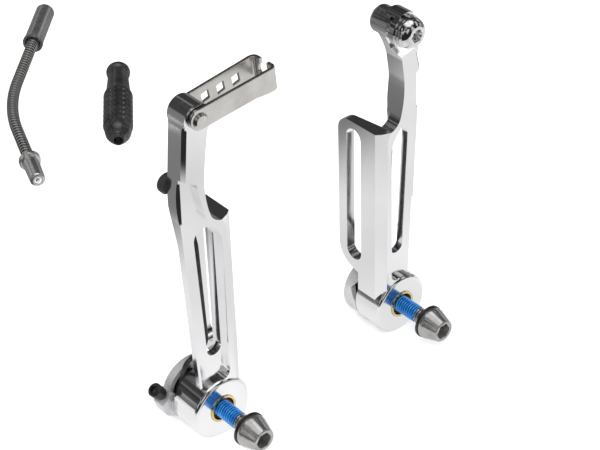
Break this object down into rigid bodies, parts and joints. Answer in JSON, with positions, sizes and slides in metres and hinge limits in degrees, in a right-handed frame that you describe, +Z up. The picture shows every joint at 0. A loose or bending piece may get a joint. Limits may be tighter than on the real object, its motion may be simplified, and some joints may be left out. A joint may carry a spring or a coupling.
{
  "type": "bicycle linear-pull rim brake",
  "caption": "Linear-pull bicycle rim brake: slotted arms on sprung pivots, hinged link, cable anchor, pivot bolts, loose cable guide pipe and rubber boot.",
  "frame": {"origin": "on the left pivot axis, in the plane where both brake posts enter", "axes": "+X from the left arm to the right arm, +Y back towards the frame or fork that carries the posts, +Z up along the arms"},
  "size_m": [0.1356, 0.1401, 0.1284],
  "materials": {
    "polished_aluminium": "polished",
    "cast_grey": "matte cast",
    "stainless": "stamped, lightly brushed",
    "chrome": "bright plated",
    "gold_bushing": "satin",
    "blue_thread_locker": "dried, slightly glossy",
    "black_steel": "black oxide",
    "black_plastic": "moulded",
    "ferrule_steel": "satin plated",
    "white_liner": "extruded",
    "boot_rubber": "matte"
  },
  "bodies": {
    "pivot_hardware": {"left_pivot_bushing": "gold_bushing", "right_pivot_bushing": "gold_bushing", "left_spring_housing": "cast_grey", "right_spring_housing": "cast_grey", "left_spring_coil": "black_steel", "right_spring_coil": "black_steel", "noodle_ferrule": "ferrule_steel", "noodle_coil": "stainless", "noodle_liner": "white_liner", "noodle_tip": "chrome", "rubber_boot": "boot_rubber"},
    "left_arm": {"left_arm": "polished_aluminium", "left_spring_leg": "black_steel", "left_spring_catch": "black_plastic", "link_rivet": "stainless"},
    "right_arm": {"right_arm": "polished_aluminium", "right_spring_leg": "black_steel", "right_spring_catch": "black_plastic"},
    "noodle_link": {"noodle_link": "stainless"},
    "anchor_washer": {"anchor_washer": "chrome"},
    "anchor_bolt": {"anchor_bolt": "chrome"},
    "left_bolt_washer": {"left_bolt_washer": "black_steel"},
    "left_pivot_bolt": {"left_pivot_bolt": "chrome", "left_thread_patch": "blue_thread_locker"},
    "left_tension_block": {"left_tension_block": "black_plastic"},
    "left_tension_screw": {"left_tension_screw": "black_steel"},
    "right_bolt_washer": {"right_bolt_washer": "black_steel"},
    "right_pivot_bolt": {"right_pivot_bolt": "chrome", "right_thread_patch": "blue_thread_locker"},
    "right_tension_block": {"right_tension_block": "black_plastic"},
    "right_tension_screw": {"right_tension_screw": "black_steel"}
  },
  "joints": [
    {"name": "left_arm_pivot", "type": "hinge", "parent": "pivot_hardware", "child": "left_arm", "pos_m": [0, 0, 0], "axis": [0, 1, 0], "range_deg": [0, 10], "stiffness_Nm_per_rad": 0.6, "springref_deg": -40.11},
    {"name": "left_bolt_travel", "type": "slide", "parent": "pivot_hardware", "child": "left_bolt_washer", "axis": [0, 1, 0], "range_m": [0, 0.0125]},
    {"name": "left_bolt_turn", "type": "hinge", "parent": "left_bolt_washer", "child": "left_pivot_bolt", "pos_m": [0, -0.0185, 0], "axis": [0, 1, 0], "range_deg": [-1, 4501]},
    {"name": "left_tension_travel", "type": "slide", "parent": "pivot_hardware", "child": "left_tension_block", "axis": [0.5822, 0, -0.8131], "range_m": [-0.0015, 0.001]},
    {"name": "left_tension_turn", "type": "hinge", "parent": "left_tension_block", "child": "left_tension_screw", "pos_m": [-0.0144, -0.0023, 0.0055], "axis": [0.5822, 0, -0.8131], "range_deg": [-1201, 801]},
    {"name": "right_arm_pivot", "type": "hinge", "parent": "pivot_hardware", "child": "right_arm", "pos_m": [0.08, 0, 0], "axis": [0, -1, 0], "range_deg": [0, 10], "stiffness_Nm_per_rad": 0.6, "springref_deg": -40.11},
    {"name": "right_bolt_travel", "type": "slide", "parent": "pivot_hardware", "child": "right_bolt_washer", "axis": [0, 1, 0], "range_m": [0, 0.0125]},
    {"name": "right_bolt_turn", "type": "hinge", "parent": "right_bolt_washer", "child": "right_pivot_bolt", "pos_m": [0.08, -0.0185, 0], "axis": [0, 1, 0], "range_deg": [-1, 4501]},
    {"name": "right_tension_travel", "type": "slide", "parent": "pivot_hardware", "child": "right_tension_block", "axis": [-0.5822, 0, -0.8131], "range_m": [-0.0015, 0.001]},
    {"name": "right_tension_turn", "type": "hinge", "parent": "right_tension_block", "child": "right_tension_screw", "pos_m": [0.0944, -0.0023, 0.0055], "axis": [-0.5822, 0, -0.8131], "range_deg": [-1201, 801]},
    {"name": "link_hinge", "type": "hinge", "parent": "left_arm", "child": "noodle_link", "pos_m": [-0.0015, -0.014, 0.1112], "axis": [0, 1, 0], "range_deg": [-60, 60]},
    {"name": "anchor_travel", "type": "slide", "parent": "right_arm", "child": "anchor_washer", "axis": [0, 1, 0], "range_m": [-0.003, 0.0012]},
    {"name": "anchor_turn", "type": "hinge", "parent": "anchor_washer", "child": "anchor_bolt", "pos_m": [0.0771, -0.0185, 0.1109], "axis": [0, 1, 0], "range_deg": [-1081, 433]}
  ],
  "couplings": [
    {"joint": "left_bolt_turn", "follows": "left_bolt_travel", "rad_per_m": 6283.2},
    {"joint": "left_tension_turn", "follows": "left_tension_travel", "rad_per_m": 13963},
    {"joint": "right_bolt_turn", "follows": "right_bolt_travel", "rad_per_m": 6283.2},
    {"joint": "right_tension_turn", "follows": "right_tension_travel", "rad_per_m": 13963},
    {"joint": "anchor_turn", "follows": "anchor_travel", "rad_per_m": 6283.2}
  ]
}
